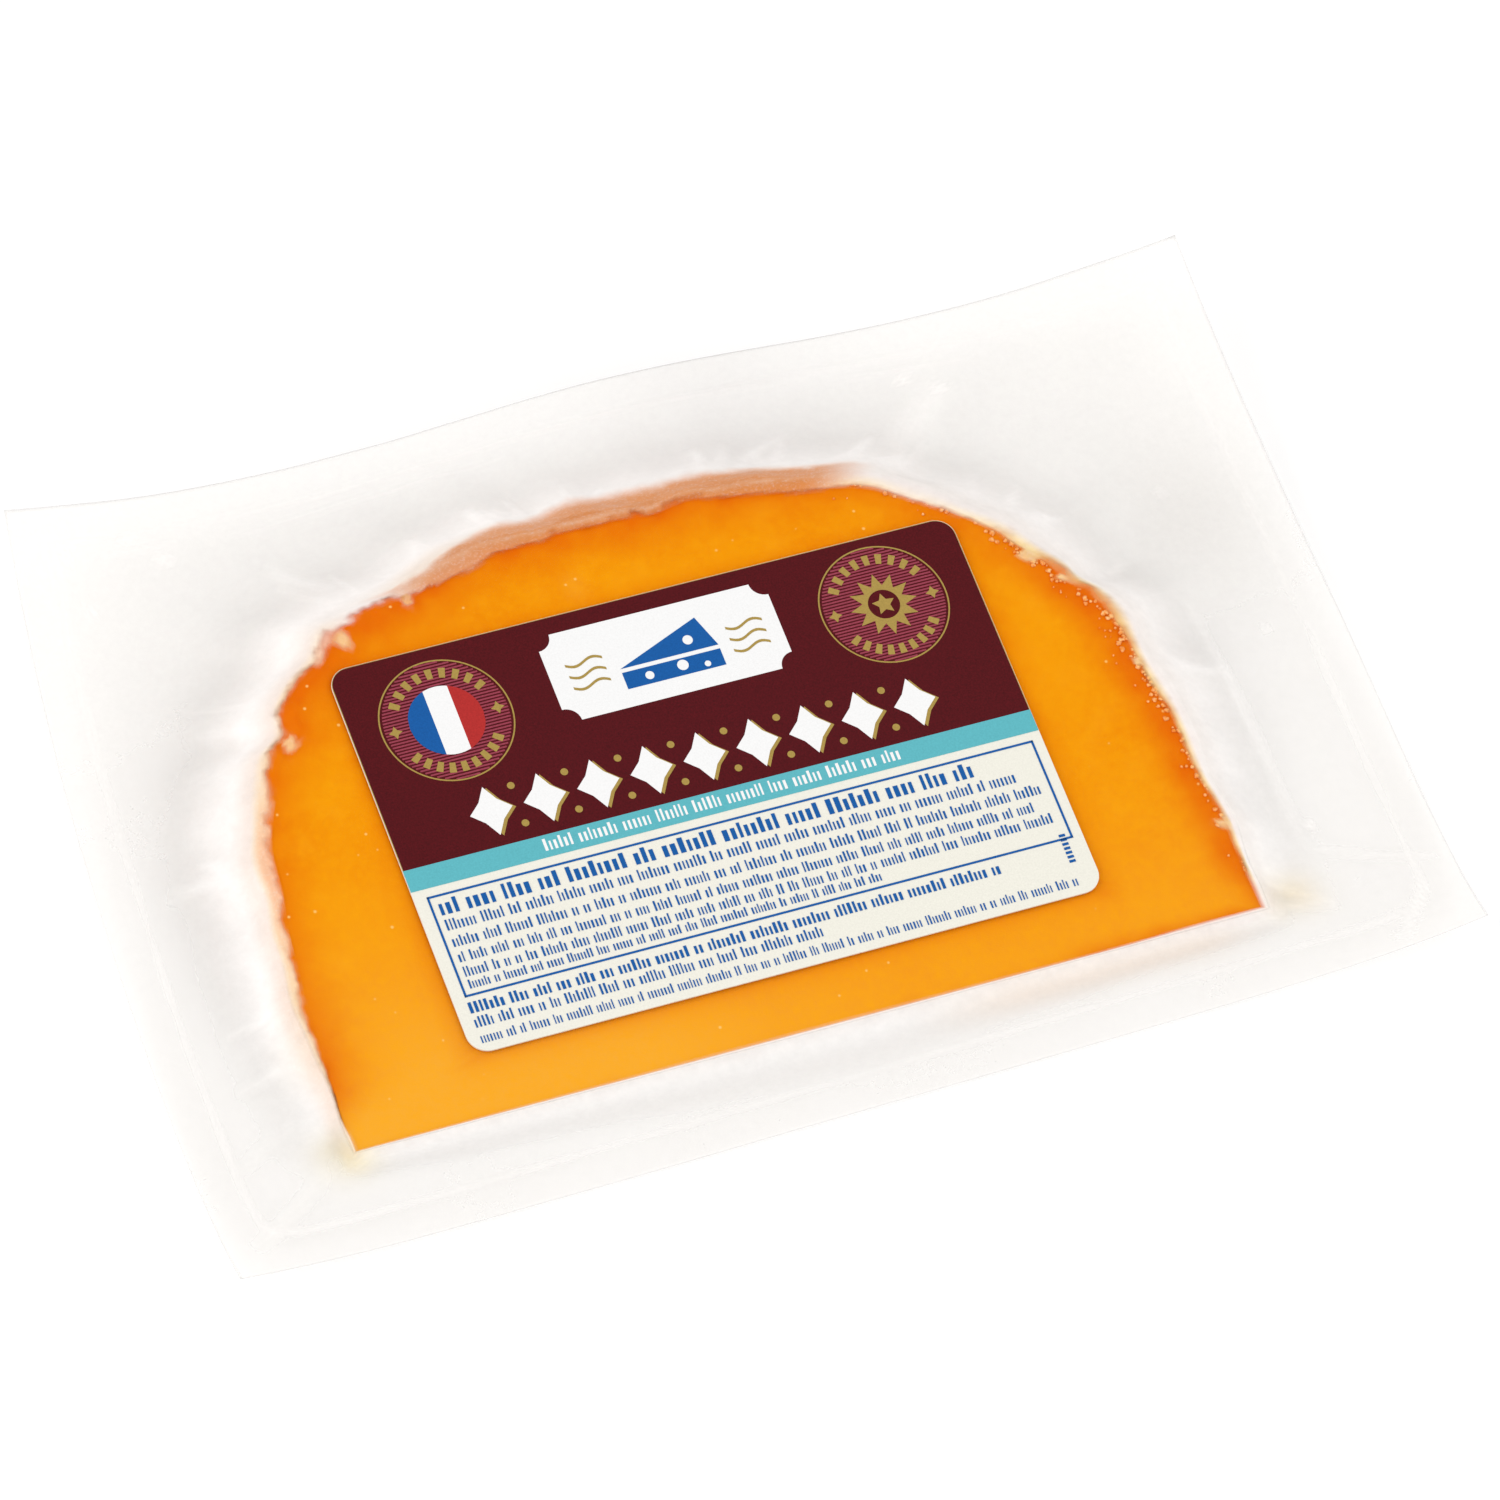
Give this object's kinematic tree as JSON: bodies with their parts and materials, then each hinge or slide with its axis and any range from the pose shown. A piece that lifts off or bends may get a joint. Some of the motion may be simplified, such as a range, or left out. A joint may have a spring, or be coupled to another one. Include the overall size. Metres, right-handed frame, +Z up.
{
  "type": "vacuum-packed wedge of aged mimolette cheese",
  "caption": "Half-moon wedge of hard orange cheese, vacuum-sealed in a clear flat pouch with curled corners and a large paper label on its cut face.",
  "frame": {"origin": "middle of the pack's footprint, on the surface that it lies on", "axes": "+X along the cheese's straight cut edge and the label's long side, +Y from that edge to the round rind, +Z up"},
  "size_m": [0.206, 0.14, 0.0172],
  "materials": {
    "cheese": "waxy, slightly glossy deep orange",
    "film": "clear glossy film, slightly milky",
    "label_paper": "printed paper, satin"
  },
  "bodies": {
    "root": {"cheese": "cheese", "pouch": "film", "label": "label_paper"}
  },
  "joints": []
}
